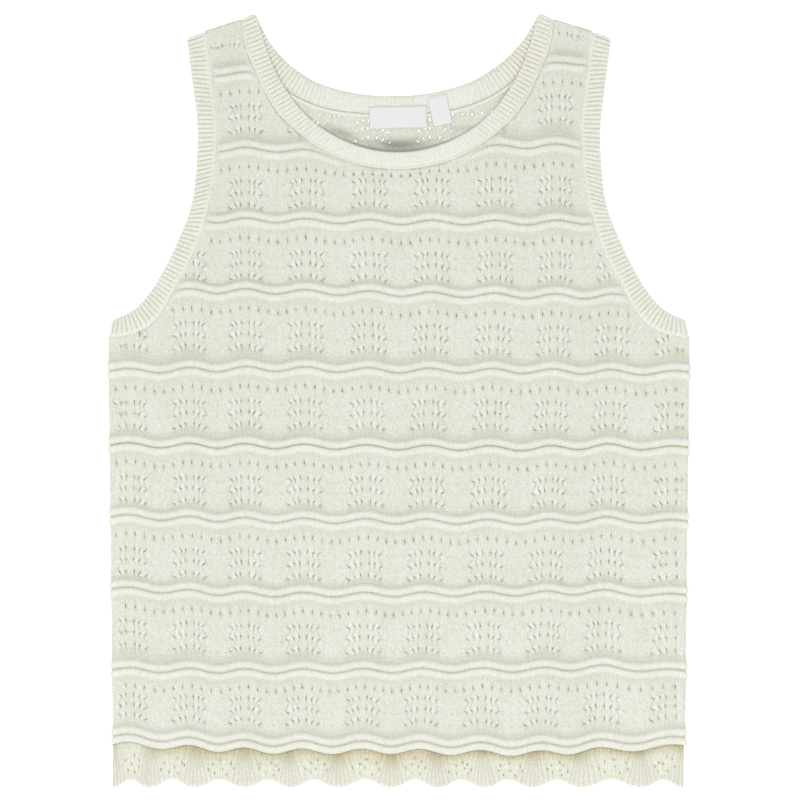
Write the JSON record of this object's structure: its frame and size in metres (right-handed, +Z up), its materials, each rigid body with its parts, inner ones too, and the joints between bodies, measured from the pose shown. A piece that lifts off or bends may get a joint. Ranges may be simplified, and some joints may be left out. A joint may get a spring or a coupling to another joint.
{
  "type": "crochet top",
  "caption": "Child's sleeveless knitted lace top laid flat, with wavy welts, ribbed neck and armhole bands, and a scalloped hem.",
  "frame": {"origin": "centre of the garment's footprint, on the surface it lies on", "axes": "+Z up out of the front, +Y towards the shoulders, +X across to the viewer's right as one looks down at the front"},
  "size_m": [0.3356, 0.4462, 0.0068],
  "materials": {
    "knit": "ivory cotton lace knit",
    "rib": "ivory cotton rib",
    "label_tape": "white woven tape"
  },
  "bodies": {
    "root": {"front_panel": "knit", "back_panel": "knit", "hem_border_front": "knit", "hem_border_back": "knit", "neck_band": "rib", "armhole_band_left": "rib", "armhole_band_right": "rib", "neck_label": "label_tape", "size_label": "label_tape"}
  },
  "joints": []
}
